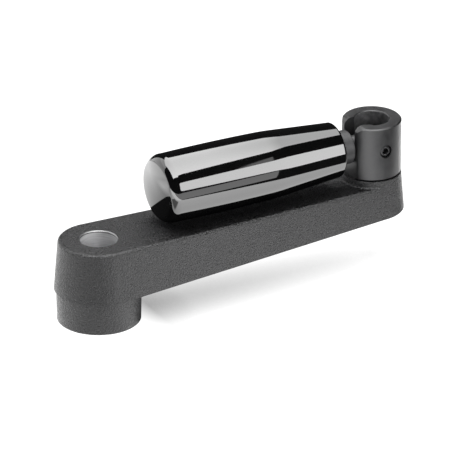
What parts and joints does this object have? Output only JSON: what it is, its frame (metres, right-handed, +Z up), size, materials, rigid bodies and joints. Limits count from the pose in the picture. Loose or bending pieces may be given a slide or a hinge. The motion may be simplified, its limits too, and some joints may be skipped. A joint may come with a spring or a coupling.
{
  "type": "crank handle with folding grip",
  "caption": "Black cast crank arm with a bored hub at one end and, at the other, a slotted housing whose revolving grip pulls out and folds down over the arm.",
  "frame": {"origin": "on the axis of the shaft bore, in the plane of the hub's lower face", "axes": "+Z up along the shaft bore toward the arm's upper face, +X along the arm from the hub to the hinge housing, +Y across the arm; drawn with the grip folded down over the arm"},
  "size_m": [0.1251, 0.0288, 0.0518],
  "materials": {
    "coated_casting": "cast body with a fine-textured, semi-matt black coating; the shaft bore and hub face are machined bare",
    "black_steel": "turned and milled steel, blackened to a soft sheen",
    "black_screw": "blackened screw steel",
    "plated_steel": "zinc plated steel, hidden inside the handle",
    "spring_wire": "bright spring steel, hidden inside the handle",
    "black_phenolic": "moulded black phenolic with a high gloss"
  },
  "bodies": {
    "arm": {"crank_arm": "coated_casting", "hinge_housing": "black_steel", "housing_screw": "black_screw", "lock_washer": "black_screw", "locating_pin": "plated_steel", "pivot_screw": "black_screw"},
    "rod": {"pull_rod": "black_steel", "spring_washer": "plated_steel", "rod_nut": "plated_steel", "return_spring": "spring_wire"},
    "sleeve": {"handle_sleeve": "black_steel", "snap_ring": "spring_wire"},
    "grip_body": {"grip": "black_phenolic"}
  },
  "joints": [
    {"name": "handle_fold", "type": "hinge", "parent": "arm", "child": "rod", "pos_m": [0.1, 0, 0.04035], "axis": [0, 1, 0], "range_deg": [0, 90]},
    {"name": "handle_pull", "type": "slide", "parent": "rod", "child": "sleeve", "axis": [-1, 0, 0], "range_m": [0, 0.0054], "deforming": ["return_spring"]},
    {"name": "grip_spin", "type": "hinge", "parent": "sleeve", "child": "grip_body", "pos_m": [0.05, 0, 0.04035], "axis": [-1, 0, 0], "continuous": true}
  ],
  "couplings": [
    {"joint": "handle_pull", "follows": "handle_fold", "m_per_rad": 0.003437}
  ]
}
